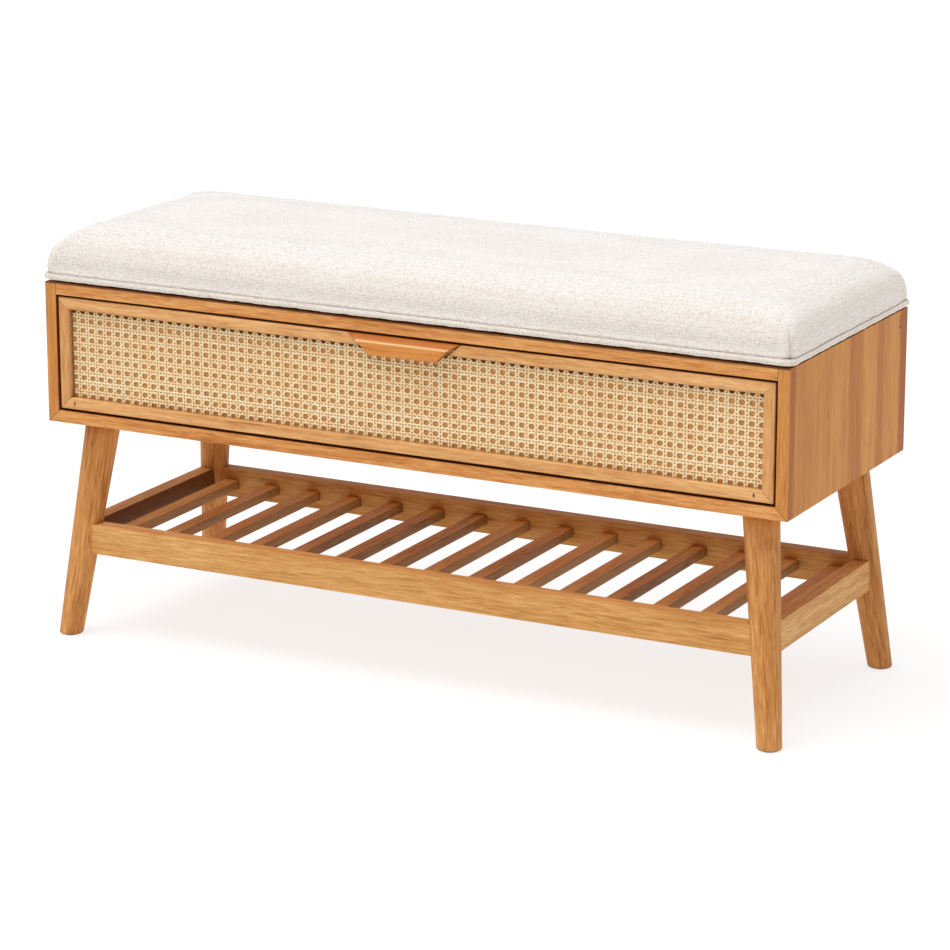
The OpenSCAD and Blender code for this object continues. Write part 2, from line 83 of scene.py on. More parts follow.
class Shader:
    """A node material under construction. Every method adds a node and returns its output."""

    def __init__(self, name):
        self.material = bpy.data.materials.new(name)
        self.material.use_nodes = True
        self.tree = self.material.node_tree
        self.tree.nodes.clear()

    def put(self, kind, inputs=None, output=0, **settings):
        node = self.tree.nodes.new("ShaderNode" + kind)
        for key, value in settings.items():
            setattr(node, key, value)
        for key, value in (inputs or {}).items():
            if isinstance(value, bpy.types.NodeSocket):
                self.tree.links.new(value, node.inputs[key])
            else:
                node.inputs[key].default_value = value
        return node.outputs[output]

    def place(self):
        return self.put("TexCoord", output="Object")

    def part(self, vector, axis):
        return self.put("SeparateXYZ", {0: vector}, axis)

    def facing(self, axis):
        """How far the surface faces along an axis, -1 to 1."""
        return self.part(self.put("TexCoord", output="Normal"), axis)

    def math(self, operation, a, b=0.0, c=0.0):
        return self.put("Math", {0: a, 1: b, 2: c}, operation=operation)

    def vector(self, operation, a, b):
        return self.put("VectorMath", {0: a, 1: b}, operation=operation)

    def scaled(self, vector, factor):
        return self.put("VectorMath", {0: vector, "Scale": factor}, operation="SCALE")

    def length(self, vector):
        return self.put("VectorMath", {0: vector}, "Value", operation="LENGTH")

    def stretch(self, vector, scale, shift=(0, 0, 0), turn=(0, 0, 0)):
        turn = tuple(math.radians(angle) for angle in turn)
        return self.put("Mapping", {"Vector": vector, "Scale": scale, "Location": shift,
                                    "Rotation": turn})

    def noise(self, vector, scale=1.0, detail=2.0, roughness=0.5, output="Fac"):
        return self.put("TexNoise", {"Vector": vector, "Scale": scale, "Detail": detail,
                                     "Roughness": roughness}, output)

    def steps(self, value, lo, hi, out_lo=0.0, out_hi=1.0):
        """value from lo..hi to out_lo..out_hi, smoothly, held at the ends."""
        return self.put("MapRange", {"Value": value, "From Min": lo, "From Max": hi,
                                     "To Min": out_lo, "To Max": out_hi},
                        interpolation_type="SMOOTHSTEP")

    def ramp(self, value, stops, interpolation="LINEAR"):
        color = self.put("ValToRGB", {"Fac": value})
        band = color.node.color_ramp
        band.interpolation = interpolation
        while len(band.elements) < len(stops):
            band.elements.new(0.5)
        for element, (position, shade) in zip(band.elements, stops):
            element.position = position
            element.color = shade
        return color

    def mix(self, factor, a, b, blend="MIX"):
        return self.put("Mix", {0: factor, 6: a, 7: b}, 2, data_type="RGBA", blend_type=blend)

    def tinted(self, factor, color, tint):
        """color, and where factor is 1, color times tint."""
        return self.mix(factor, color, self.mix(1.0, color, tint, "MULTIPLY"))

    def bump(self, height, strength, distance):
        return self.put("Bump", {"Height": height, "Strength": strength, "Distance": distance})

    def finish(self, **sockets):
        names = {key.replace("_", " "): value for key, value in sockets.items()}
        surface = self.put("BsdfPrincipled", names)
        out = self.tree.nodes.new("ShaderNodeOutputMaterial")
        self.tree.links.new(surface, out.inputs["Surface"])
        return self.material


# ---- Wood ------------------------------------------------------------------------------------

CREVICE = 14 * MM
CREVICE_SHADE_TONE = tone(104, 38, 9)
KNOT_TONE = tone(62, 30, 14)
GRAIN_TURN = {"x": (0, 0, 0), "y": (0, 0, -90), "z": (0, 90, 0)}
DRIFT = 0.02
PITH = (0, 0.13, -0.07)
RINGS_PER_METRE = 120.0
RING_STOPS = [(0.0, grey(0.7)), (0.5, grey(0.58)), (0.86, grey(0.15)), (1.0, grey(0.7))]
RING_SHARE = 0.14
FIBRE_SHARE = 1.25
STREAK_SHARE = 0.8
BOARD_SPREAD = 0.36
STAVE_WANDER = 6 * MM


def drifted(s, along):
    """Grain coordinates that wander slowly to the sides."""
    drift = s.noise(s.stretch(along, (1.7, 10, 10)), detail=1.0, output="Color")
    drift = s.scaled(s.vector("SUBTRACT", drift, (0.5, 0.5, 0.5)), DRIFT)
    return s.vector("ADD", along, drift)


def year_rings(s, along, bent):
    """Late wood in dark rings round a pith that lies outside the board."""
    pith = s.vector("SUBTRACT", bent, PITH)
    radius = s.length(s.stretch(pith, (0.04, 1, 1)))
    uneven = s.noise(s.stretch(along, (0.9, 45, 45)), detail=2.0)
    turns = s.math("MULTIPLY_ADD", radius, RINGS_PER_METRE, s.math("MULTIPLY", uneven, 2.4))
    return s.ramp(s.math("FRACT", turns), RING_STOPS, "EASE")


def board_tone(s, place, axis, pitch):
    """A tone of its own for each board of a row."""
    count = s.math("ROUND", s.math("DIVIDE", s.part(place, axis), pitch))
    own = s.put("TexWhiteNoise", {"W": count}, "Value", noise_dimensions="1D")
    return s.math("MULTIPLY_ADD", own, BOARD_SPREAD, -0.5 * BOARD_SPREAD)


def glued_staves(s, color, place, along, staves):
    """Tints the two broad faces of a side panel stave by stave."""
    lo, hi = staves[0][0], staves[-1][0]
    wander = s.noise(s.stretch(along, (2.0, 6, 6)), detail=1.0)
    across = s.math("MULTIPLY_ADD", wander, STAVE_WANDER, s.part(place, "Y"))
    across = s.put("MapRange", {"Value": across, "From Min": lo, "From Max": hi})
    tint = s.ramp(across, [((y - lo) / (hi - lo), shade) for y, shade in staves])
    broad = s.steps(s.math("ABSOLUTE", s.facing("X")), 0.5, 0.8)
    return s.tinted(broad, color, tint)


def add_knot(s, color, place, centre, size, long):
    offset = s.vector("SUBTRACT", place, centre)
    far = s.length(s.stretch(offset, tuple(1 / (size * part) for part in long)))
    far = s.math("MULTIPLY_ADD", s.noise(place, 900.0), 0.7, s.math("SUBTRACT", far, 0.35))
    return s.mix(s.steps(far, 0.7, 1.3, 0.9, 0.0), color, KNOT_TONE)


def grain_figure(s, along, bent, patches, figure):
    """The grain's level, 0.5 on average, with the fibre and patches that it is made of."""
    ring = year_rings(s, along, bent)
    fibre = s.noise(s.stretch(bent, (34, 540, 540)), detail=3.0, roughness=0.62)
    streak = s.noise(s.stretch(bent, (7, 110, 110)), detail=3.0)
    patch = s.noise(s.stretch(bent, (1.3, 18, 18)), detail=2.0)
    level = s.math("MULTIPLY_ADD", ring, RING_SHARE, -0.5 * RING_SHARE)
    for part, share in [(fibre, FIBRE_SHARE), (streak, STREAK_SHARE), (patch, patches)]:
        level = s.math("ADD", level, s.math("MULTIPLY_ADD", part, share, -0.5 * share))
    return s.math("MULTIPLY_ADD", level, figure, 0.5), fibre, patch


def dashes_and_pores(s, bent, patch):
    """Short dark dashes, strongest in the patches, and the fine open pores between them."""
    dash = s.steps(s.noise(s.stretch(bent, (30, 400, 400)), detail=2.0), 0.58, 0.72)
    dash = s.math("MULTIPLY", dash, s.steps(patch, 0.35, 0.6, 0.35, 1.0))
    pore = s.steps(s.noise(s.stretch(bent, (90, 1700, 1700)), detail=2.0), 0.58, 0.70)
    return dash, pore


def wood(name, grain, tones, shift=(0, 0, 0), patches=0.5, staves=None, knots=(), board=None,
         lean=None, roughness=0.5, coat=0.0, specular=0.18, figure=0.72, crevice_shade=0.75, extra=()):
    """Oak with its grain along x, y or z. tones run from dark to light.

    lean is (point, rotation) of a leaning piece, whose own z the grain then follows.
    staves are (distance along y, tint) pairs; knots are (centre, radius, stretch) in metres;
    board is (axis, pitch) where neighbouring slats take tones of their own.
    patches is how blotchy the wood is and figure the contrast of its grain; crevice_shade is how
    dark the painted shade goes in tight corners; extra are functions that paint more on the colour."""
    s = Shader(name)
    place = s.place()
    if lean:
        place = s.put("Mapping", {"Vector": place, "Location": lean[0], "Rotation": lean[1]},
                      vector_type="TEXTURE")
    along = s.stretch(place, (1, 1, 1), shift, GRAIN_TURN[grain])
    bent = drifted(s, along)
    level, fibre, patch = grain_figure(s, along, bent, patches, figure)
    if board:
        level = s.math("ADD", level, board_tone(s, place, *board))

    last = len(tones) - 1
    color = s.ramp(level, [(0.12 + 0.76 * i / last, shade) for i, shade in enumerate(tones)])
    if staves:
        color = glued_staves(s, color, place, along, staves)
    dash, pore = dashes_and_pores(s, bent, patch)
    color = s.mix(s.math("MULTIPLY", dash, 0.7 * figure), color, tones[0])
    color = s.mix(s.math("MULTIPLY", pore, 0.22), color, tones[0])
    for centre, size, long in knots:
        color = add_knot(s, color, place, centre, size, long)
    for paint in extra:
        color = paint(s, color)
    # Painted shade: the colour darkens towards CREVICE_SHADE_TONE in tight corners and gaps, where
    # ambient occlusion finds little open air.
    open_air = s.put("AmbientOcclusion", {"Distance": CREVICE}, "AO", samples=8)
    color = s.mix(s.steps(open_air, 0.1, 0.75, crevice_shade, 0.0), color, CREVICE_SHADE_TONE)

    height = s.math("MULTIPLY_ADD", pore, -0.6, s.math("MULTIPLY", fibre, 0.7))
    height = s.math("MULTIPLY_ADD", dash, -0.6, height)
    rough = s.math("MULTIPLY_ADD", fibre, 0.16, roughness - 0.08)
    return s.finish(Base_Color=color, Roughness=rough, Specular_IOR_Level=specular,
                    Coat_Weight=coat, Coat_Roughness=0.22,
                    Normal=s.bump(height, 0.35, 0.0004))


END_GRAIN_AND_SHADE = (0.52, 0.42, 0.38, 1)
BROW_SHADE = (0.76, 0.57, 0.33, 1)
RIDGE_HIGHLIGHT = tone(250, 214, 156)
SLAT_FLANK_SHADE = (0.48, 0.42, 0.36, 1)
RAIL_INSIDE = (0.34, 0.25, 0.18, 1)
BACKING_SHADE = tone(66, 36, 16)
JOINT_TONE = tone(104, 50, 16)
PIPING_SHADE = tone(92, 38, 10)


def drop_below(s, top):
    return s.math("SUBTRACT", top, s.part(s.place(), "Z"))


def end_grain_and_shade(s, color):
    """Cut ends that face along x drink more finish and are darker, with painted shade on these
    side-facing facets as well.
    """
    ends = s.steps(s.math("ABSOLUTE", s.facing("X")), 0.35, 0.6)
    return s.tinted(ends, color, END_GRAIN_AND_SHADE)


def brow_shade_and_ridge_highlight(top):
    """Painted shade: a deeper colour on the brow of the pull; and a painted highlight along its
    ridge.
    """
    def paint(s, color):
        drop = drop_below(s, top)
        # Painted shade on the brow, deepest near its top edge.
        deep = s.steps(drop, 4.5 * MM, 7 * MM, 1.0, 0.0)
        color = s.tinted(deep, color, BROW_SHADE)
        # Painted highlight: a pale line along the ridge.
        ridge = s.math("MULTIPLY", s.steps(drop, 5.6 * MM, 6.8 * MM),
                       s.steps(drop, 7.4 * MM, 9.2 * MM, 1.0, 0.0))
        return s.mix(s.math("MULTIPLY", ridge, 0.75), color, RIDGE_HIGHLIGHT)
    return paint


def shaded_sides(s, color):
    """Painted shade: the slats' flanks darker than their tops."""
    flank = s.steps(s.math("ABSOLUTE", s.facing("X")), 0.4, 0.8)
    return s.tinted(flank, color, SLAT_FLANK_SHADE)


def shaded_inside(s, color):
    """The left rail's inner face, which the case keeps in the dark."""
    inside = s.steps(s.facing("X"), 0.5, 0.9)
    return s.tinted(inside, color, RAIL_INSIDE)


def shadowed_top(top):
    """Shade gathers on the front of the backing, under the frame's top rail."""
    def paint(s, color):
        near = s.math("MULTIPLY", s.steps(drop_below(s, top), 5 * MM, 13 * MM, 0.85, 0.0),
                      s.steps(s.facing("Y"), -0.9, -0.5, 1.0, 0.0))
        return s.mix(near, color, BACKING_SHADE)
    return paint


def joint_lines(inner_x, inner_z):
    """Thin dark joints: the top board's butted ends and the bottom board's mitres."""
    def paint(s, color):
        across = s.math("ABSOLUTE", s.part(s.place(), "X"))
        rise = s.part(s.place(), "Z")
        butt = s.steps(across, inner_x - 1.6 * MM, inner_x - 0.5 * MM)
        butt = s.math("MULTIPLY", butt, s.steps(rise, inner_z, inner_z + 20 * MM))
        mitre = s.math("SUBTRACT", s.math("ADD", across, rise), inner_x + inner_z)
        mitre = s.steps(s.math("ABSOLUTE", mitre), 0.5 * MM, 1.9 * MM, 1.0, 0.0)
        low = s.steps(rise, inner_z, inner_z + 2 * MM, 1.0, 0.0)
        line = s.math("MAXIMUM", butt, s.math("MULTIPLY", mitre, low))
        return s.mix(s.math("MULTIPLY", line, 0.6), color, JOINT_TONE)
    return paint


def under_piping(top):
    """The shade that the piping keeps on the front and back, just below the top edge."""
    def paint(s, color):
        near = s.math("MULTIPLY", s.steps(drop_below(s, top), 0.4 * MM, 2.4 * MM, 0.95, 0.0),
                      s.steps(s.math("ABSOLUTE", s.facing("Y")), 0.2, 0.6))
        return s.mix(near, color, PIPING_SHADE)
    return paint


def deeper(tones, tint):
    """The same wood in a deeper colour: a tone of its own, or painted shade for parts kept in the
    dark.
    """
    return [tuple(part * factor for part, factor in zip(shade, tint)) for shade in tones]


CASE_TONES = [tone(150, 84, 33), tone(205, 132, 68), tone(230, 164, 96), tone(251, 202, 140)]
FRAME_TONES = [tone(166, 102, 48), tone(214, 152, 88), tone(236, 180, 116), tone(252, 214, 160)]
SIDE_TONES = [tone(150, 84, 38), tone(198, 128, 64), tone(217, 149, 80), tone(236, 176, 104)]
LEG_TONES = [tone(136, 76, 28), tone(192, 126, 64), tone(218, 155, 88), tone(244, 192, 128)]
RAIL_TONES = [tone(148, 88, 38), tone(202, 142, 76), tone(225, 170, 102), tone(248, 206, 142)]
SLAT_TONES = [tone(146, 96, 46), tone(200, 146, 84), tone(218, 166, 102), tone(234, 186, 122)]
BACKING_TONES = [tone(172, 112, 58), tone(204, 144, 83), tone(216, 156, 93), tone(226, 171, 107)]
BIRCH_TONES = [tone(186, 150, 104), tone(208, 176, 130), tone(220, 190, 146), tone(230, 204, 162)]
PULL_TONES = [tone(176, 98, 36), tone(214, 134, 60), tone(226, 150, 74), tone(238, 170, 96)]
SHY = (0.92, 0.88, 0.84, 1)
SHADED = (0.76, 0.72, 0.64, 1)
REAR_LEG_SHADE = (0.88, 0.86, 0.84, 1)


# ---- Other materials -------------------------------------------------------------------------

WEAVE_PITCH = 3.3 * MM
THREAD_WOBBLE = 1.6 * MM
SEAM_REACH = 17 * MM
LINEN_STOPS = [(0.1, tone(232, 224, 215)), (0.45, tone(251, 247, 243)),
               (0.8, tone(255, 254, 253))]
SEAM_SHADE = tone(196, 182, 166)
TUCK_SHADE = tone(150, 130, 108)
FRONT_SHADE = (0.88, 0.845, 0.81, 1)
END_SHADE = (1.0, 0.955, 0.915, 1)
CANE_STOPS = [(0.15, tone(244, 188, 126)), (0.5, tone(255, 224, 172)),
              (0.85, tone(255, 242, 206))]
CANE_SHADE = tone(58, 30, 12)


def corner_seam(s, place):
    """1 along the pad's four upright corner seams, which fade out over the crown."""
    _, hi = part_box("seat_cushion")
    reach = []
    for axis, half in (("X", hi.x), ("Y", hi.y)):
        side = s.math("ABSOLUTE", s.part(place, axis))
        reach.append(s.math("SUBTRACT", side, half - SEAM_REACH))
    across = s.math("ABSOLUTE", s.math("SUBTRACT", reach[0], reach[1]))
    line = s.steps(across, 0.5 * MM, 1.6 * MM, 1.0, 0.0)
    near = s.steps(s.math("MINIMUM", reach[0], reach[1]), 0.0, 6 * MM)
    return s.math("MULTIPLY", line, near)


def tuck_line(s, place):
    """1 along the tuck where the pad meets its piping."""
    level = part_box("cushion_piping")[1].z
    rise = s.math("SUBTRACT", s.part(place, "Z"), level)
    return s.steps(s.math("ABSOLUTE", rise), 0.2 * MM, 1.3 * MM, 1.0, 0.0)


def cloth_height(s, cloth):
    """Plain weave, nubs, slubs both ways and fuzz, as one height."""
    waves = [s.math("SINE", s.math("MULTIPLY", s.part(cloth, axis), 2 * math.pi / WEAVE_PITCH))
             for axis in "XYZ"]
    weave = s.math("MULTIPLY", waves[0], waves[1])
    weave = s.math("MULTIPLY_ADD", waves[1], waves[2], weave)
    weave = s.math("MULTIPLY_ADD", waves[2], waves[0], weave)
    nubs = s.put("TexVoronoi", {"Vector": cloth, "Scale": 340.0, "Randomness": 1.0}, "Distance")
    slub = s.noise(s.stretch(cloth, (240, 420, 420)), detail=3.0)
    slub_across = s.noise(s.stretch(cloth, (420, 240, 420)), detail=3.0)
    fuzz = s.noise(cloth, 1100.0, 3.0, 0.7)
    height = s.math("MULTIPLY_ADD", weave, 0.3, s.math("MULTIPLY", nubs, -0.9))
    height = s.math("MULTIPLY_ADD", slub, 0.45, height)
    height = s.math("MULTIPLY_ADD", slub_across, 0.45, height)
    return s.math("MULTIPLY_ADD", fuzz, 0.5, height)


def linen(name, painted_shade=(1, 1, 1, 1)):
    """Cream linen with a nubby plain weave; painted_shade is a tint over all of it."""
    s = Shader(name)
    place = s.place()
    wobble = s.scaled(s.noise(place, 90.0, 2.0, output="Color"), THREAD_WOBBLE)
    cloth = s.vector("ADD", place, wobble)
    height = cloth_height(s, cloth)
    level = s.math("MULTIPLY_ADD", s.noise(cloth, 14.0, 2.0), 0.2,
                   s.math("MULTIPLY_ADD", height, 0.75, 0.12))
    color = s.ramp(level, LINEN_STOPS)
    seam = corner_seam(s, place)
    # Painted shade in the creases of the corner seams.
    color = s.mix(s.math("MULTIPLY", seam, 0.25), color, SEAM_SHADE)
    height = s.math("MULTIPLY_ADD", seam, -1.6, height)
    # Painted shade along the tuck between the pad and its piping.
    color = s.mix(s.math("MULTIPLY", tuck_line(s, place), 0.4), color, TUCK_SHADE)
    # Painted shade: the front face darker than the top.
    front = s.steps(s.facing("Y"), -0.95, 0.1, 1.0, 0.0)
    color = s.tinted(front, color, FRONT_SHADE)
    # Painted shade: the ends a warmer, darker cream than the top.
    ends = s.steps(s.math("ABSOLUTE", s.facing("X")), 0.2, 0.9)
    color = s.tinted(ends, color, END_SHADE)
    color = s.mix(1.0, color, painted_shade, "MULTIPLY")
    return s.finish(Base_Color=color, Roughness=0.9, Sheen_Weight=0.25, Sheen_Roughness=0.45,
                    Specular_IOR_Level=0.2, Normal=s.bump(height, 0.6, 0.0008))


def window_shade(s):
    """Dark where the frame's left stile and top rail shade the cane."""
    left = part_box("frame_left_stile")[1].x
    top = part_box("frame_top_rail")[0].z
    across = s.math("SUBTRACT", s.part(s.place(), "X"), left)
    return s.math("MAXIMUM", s.steps(across, 0.8 * MM, 2.6 * MM, 0.75, 0.0),
                  s.steps(drop_below(s, top), 0.8 * MM, 3.5 * MM, 0.7, 0.0))


def rattan(name):
    """Glossy cane strands: each has a tone of its own and fine lines along it."""
    s = Shader(name)
    own = s.put("Attribute", output="Fac", attribute_name="strand_tone")
    speck = s.noise(s.place(), 160.0, 3.0)
    lines = s.noise(s.place(), 1500.0, 2.0)
    level = s.math("MULTIPLY_ADD", speck, 0.7, s.math("MULTIPLY_ADD", own, 0.3, -0.1))
    level = s.math("MULTIPLY_ADD", lines, 0.2, level)
    color = s.ramp(level, CANE_STOPS)
    color = s.mix(window_shade(s), color, CANE_SHADE)
    return s.finish(Base_Color=color, Roughness=0.45, Specular_IOR_Level=0.3,
                    Normal=s.bump(lines, 0.2, 0.0002))


BRUSHED = (3, 900, 900)
POLISHED = (60, 60, 60)
TURNED = (200, 200, 200)


def metal(name, shade=(168, 170, 174), grain=BRUSHED):
    s = Shader(name)
    brush = s.noise(s.stretch(s.place(), grain), detail=3.0)
    smear = s.noise(s.place(), 35.0, 2.0)
    color = s.mix(s.math("MULTIPLY", smear, 0.35), tone(*shade), grey(0.32))
    rough = s.math("MULTIPLY_ADD", brush, 0.22, 0.22)
    return s.finish(Base_Color=color, Metallic=1.0, Roughness=rough,
                    Normal=s.bump(brush, 0.15, 0.0001))


def moulded(name, shade):
    """Finely pitted plastic."""
    s = Shader(name)
    pitting = s.noise(s.place(), 2200.0, 2.0)
    cloud = s.noise(s.place(), 60.0, 2.0)
    color = s.mix(s.math("MULTIPLY", cloud, 0.4), shade, grey(0.12))
    return s.finish(Base_Color=color, Roughness=0.55, Normal=s.bump(pitting, 0.2, 0.0001))


# ---- Carried-over CAD nodes ------------------------------------------------------------------

WELD_GAP = 0.02 * MM
FLAT_ANGLE = math.radians(0.6)
EDGE_ANGLE = math.radians(32)


def dress(names, material, ease=0.0, segments=3):
    """Gives CAD nodes a material and, if asked, eased edges."""
    for name in names:
        node = NODES[name]
        node.data.materials.clear()
        node.data.materials.append(material)
        if ease:
            weld = node.modifiers.new("weld", "WELD")
            weld.merge_threshold = WELD_GAP
            flat = node.modifiers.new("flat", "DECIMATE")
            flat.decimate_type = "DISSOLVE"
            flat.angle_limit = FLAT_ANGLE
            bevel = node.modifiers.new("ease", "BEVEL")
            bevel.width = ease
            bevel.segments = segments
            bevel.limit_method = "ANGLE"
            bevel.angle_limit = EDGE_ANGLE
            bevel.harden_normals = True
            bevel.use_clamp_overlap = True


# Tints of the staves that a side panel is glued from, and where they change, in millimetres
# from the right panel's front edge, or from the left panel's back edge.
DARK_RED = (0.72, 0.53, 0.36, 1)
RED = (0.87, 0.75, 0.55, 1)
DUSK = (0.96, 0.91, 0.7, 1)
PLAIN = (1, 1, 0.83, 1)
HONEY = (1.05, 1.06, 0.87, 1)
SIDE_STAVES = [(0, DARK_RED), (18, DARK_RED), (22, DUSK), (50, DUSK), (56, PLAIN), (100, PLAIN),
               (105, DUSK), (122, DUSK), (130, HONEY), (176, HONEY), (183, RED), (216, RED),
               (226, HONEY), (266, HONEY), (273, RED), (284, RED), (292, PLAIN), (338, HONEY),
               (344, DARK_RED), (360, DARK_RED)]


def dress_case():
    _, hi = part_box("right_side_panel")
    staves = [(far * MM - hi.y, shade) for far, shade in SIDE_STAVES]
    other_staves = [(hi.y - far * MM, shade) for far, shade in reversed(SIDE_STAVES)]
    edge_knot = ((hi.x, hi.y - 24 * MM, hi.z - 12 * MM), 2.2 * MM, (1, 0.5, 4))
    eye_knot = ((hi.x, hi.y - 22 * MM, hi.z - 21 * MM), 2.4 * MM, (1, 1.2, 0.7))
    shade = under_piping(hi.z)
    right = wood("oak_right_side", "z", SIDE_TONES, patches=0.42,
                 figure=0.6, staves=staves, knots=[edge_knot, eye_knot], extra=[shade])
    left = wood("oak_left_side", "z", SIDE_TONES, (0.4, 0.17, 0.05), patches=0.42,
                figure=0.6, staves=other_staves, extra=[shade])
    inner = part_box("case_top_panel")[1].x
    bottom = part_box("case_bottom_panel")[1].z
    board = wood("oak_case", "x", CASE_TONES, (0.3, 0.02, 0.01),
                 extra=[shade, joint_lines(inner, bottom)])
    back = wood("oak_back", "x", SIDE_TONES, (1.3, 0.12, 0.31))
    dress(["right_side_panel"], right, 1.1 * MM)
    dress(["left_side_panel"], left, 1.1 * MM)
    dress(["case_top_panel", "case_bottom_panel"], board, 0.9 * MM)
    dress(["case_back_panel"], back, 0.8 * MM)


SLAT_PITCH = 61.7 * MM


def dress_shelf():
    long = wood("oak_long_rail", "x", RAIL_TONES, (0.1, 0.3, 0.2))
    short = wood("oak_short_rail", "y", RAIL_TONES, (0.7, 0.2, 0.4))
    slats = wood("oak_slat", "y", SLAT_TONES, (1.7, 0.1, 0.6), board=("X", SLAT_PITCH),
                 extra=[shaded_sides])
    # The back and left rails are darker copies of the rail wood: painted shade from the case above.
    long_dark = wood("oak_back_rail", "x", deeper(RAIL_TONES, SHADED), (0.6, 0.3, 0.2))
    short_dark = wood("oak_left_rail", "y", deeper(RAIL_TONES, SHADED), (0.2, 0.2, 0.4),
                      extra=[shaded_inside])
    dress(["shelf_front_rail"], long, 0.5 * MM)
    dress(["shelf_right_rail"], short, 1.1 * MM)
    dress(["shelf_back_rail"], long_dark, 0.5 * MM)
    dress(["shelf_left_rail"], short_dark, 1.1 * MM)
    dress([name for name in NODES if name.startswith("slat_")], slats, 0.9 * MM, 2)


def dress_drawer():
    lo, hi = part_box("frame_bottom_rail")
    left_knot = ((lo.x + 21 * MM, lo.y, lo.z + 8 * MM), 2.0 * MM, (0.6, 3, 1.5))
    right_knot = ((hi.x - 24 * MM, lo.y, lo.z + 8 * MM), 1.8 * MM, (0.8, 3, 1.5))
    rails = wood("oak_frame_rail", "x", FRAME_TONES, (0.2, 0.4, 0.1),
                 knots=[left_knot, right_knot], roughness=0.4, specular=0.35)
    stiles = wood("oak_frame_stile", "z", deeper(FRAME_TONES, SHY), (0.9, 0.1, 0.3), roughness=0.4,
                  specular=0.35)
    dress(["frame_top_rail", "frame_bottom_rail"], rails, 0.5 * MM, 1)
    dress(["frame_left_stile", "frame_right_stile"], stiles, 0.5 * MM, 1)
    window_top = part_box("frame_top_rail")[0].z
    backing = wood("oak_front_board", "x", BACKING_TONES, (0.5, 0.1, 0.2), crevice_shade=0.0,
                   extra=[shadowed_top(window_top)])
    dress(["drawer_front_board"], backing)
    side = wood("birch_side", "y", BIRCH_TONES, (0.5, 0.3, 0.2))
    across = wood("birch_across", "x", BIRCH_TONES, (0.5, 0.1, 0.2))
    dress(["drawer_left_side", "drawer_right_side"], side, 0.8 * MM)
    dress(["drawer_back"], across, 0.8 * MM)
    dress(["drawer_bottom"], across)


def dress_hidden_and_metal():
    pins = wood("beech_dowel", "z", BIRCH_TONES)
    board = wood("plywood_seat_board", "x", BIRCH_TONES, (0.9, 0.6, 0.2))
    slide = metal("zinc_steel")
    dress(["case_dowels", "rail_dowels", "drawer_dowels"], pins)
    dress(["seat_board"], board, 0.8 * MM)
    dress(["left_outer_slide", "right_outer_slide", "left_inner_slide", "right_inner_slide"],
          slide, 0.25 * MM, 2)
    dress(["left_ball_cage", "right_ball_cage"], metal("cage_steel", (150, 152, 150)))
    dress(["slide_balls"], metal("ball_steel", (196, 198, 202), POLISHED))
    dress(["leg_bolts", "seat_screws", "case_slide_screws", "drawer_slide_screws",
           "pull_screws"], metal("screw_steel", (176, 176, 172), TURNED))
    dress(["leg_inserts"], metal("brass_insert", (196, 158, 84), TURNED))
    dress(["foot_glides"], moulded("glide_plastic", tone(60, 54, 48)))


# ---- Mesh helpers ----------------------------------------------------------------------------

def make_object(name, points, faces, material, smooth=True):
    mesh = bpy.data.meshes.new(name)
    mesh.from_pydata([tuple(point) for point in points], [], faces)
    mesh.update()
    mesh.polygons.foreach_set("use_smooth", [smooth] * len(mesh.polygons))
    mesh.materials.append(material)
    piece = bpy.data.objects.new(name, mesh)
    bpy.context.scene.collection.objects.link(piece)
    return piece


def loft(rings, closed=False):
    """Faces between rings of equal length, capped unless closed, as (points, faces)."""
    size = len(rings[0])
    points = [point for ring in rings for point in ring]
    faces = []
    count = len(rings)
    for i in range(count if closed else count - 1):
        here, there = i * size, (i + 1) % count * size
        for k in range(size):
            n = (k + 1) % size
            faces.append((here + k, here + n, there + n, there + k))
    if not closed:
        faces.append(tuple(reversed(range(size))))
        faces.append(tuple(range((count - 1) * size, count * size)))
    return points, faces


# ---- Legs ------------------------------------------------------------------------------------

LEG_SIDES = 56
LEG_TOP_R = 22 * MM
LEG_FOOT_R = 15 * MM
LEG_TOP_IN = (52 * MM, 46 * MM)
LEG_FOOT_IN = (19 * MM, 7 * MM)
FOOT_EASE = 2.6 * MM


def leg_levels(bottom, top):
    """(height, inset) of each ring: an eased foot, then a straight taper."""
    levels = [(bottom, FOOT_EASE * 1.4)]
    for angle in np.linspace(0, math.pi / 2, 6):
        rise = FOOT_EASE * (1 - math.cos(angle))
        levels.append((bottom + rise, FOOT_EASE * (1 - math.sin(angle))))
    return levels + [(z, 0.0) for z in np.linspace(bottom + FOOT_EASE, top, 14)[1:]]


def make_leg(name, x_way, y_way, tones, shift):
    """A splayed round leg, cut level at the case and at the floor, with an eased foot."""
    half_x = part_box("case_bottom_panel")[1].x
    half_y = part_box("right_side_panel")[1].y
    lo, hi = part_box(name)
    foot = Vector((x_way * (half_x - LEG_FOOT_IN[0]), y_way * (half_y - LEG_FOOT_IN[1]), 0))
    top = Vector((x_way * (half_x - LEG_TOP_IN[0]), y_way * (half_y - LEG_TOP_IN[1]), hi.z))
    axis = (top - foot).normalized()
    turn = axis.to_track_quat("Z", "Y").to_matrix()
    right, up = turn.col[0], turn.col[1]
    taper = (LEG_TOP_R - LEG_FOOT_R) / (top - foot).length
    rings = []
    for z, inset in leg_levels(lo.z, hi.z):
        ring = []
        for k in range(LEG_SIDES):
            angle = 2 * math.pi * k / LEG_SIDES
            side = math.cos(angle) * right + math.sin(angle) * up
            start = foot + (LEG_FOOT_R - inset) * side
            run = axis + taper * side
            ring.append(start + run * ((z - start.z) / run.z))
        rings.append(ring)
    points, faces = loft(rings)
    lean = (foot, turn.to_euler())
    material = wood("oak_" + name, "z", tones, shift, lean=lean, figure=0.85)
    piece = make_object(name + "_turned", points, faces, material)
    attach(piece, "case")
    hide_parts(name)


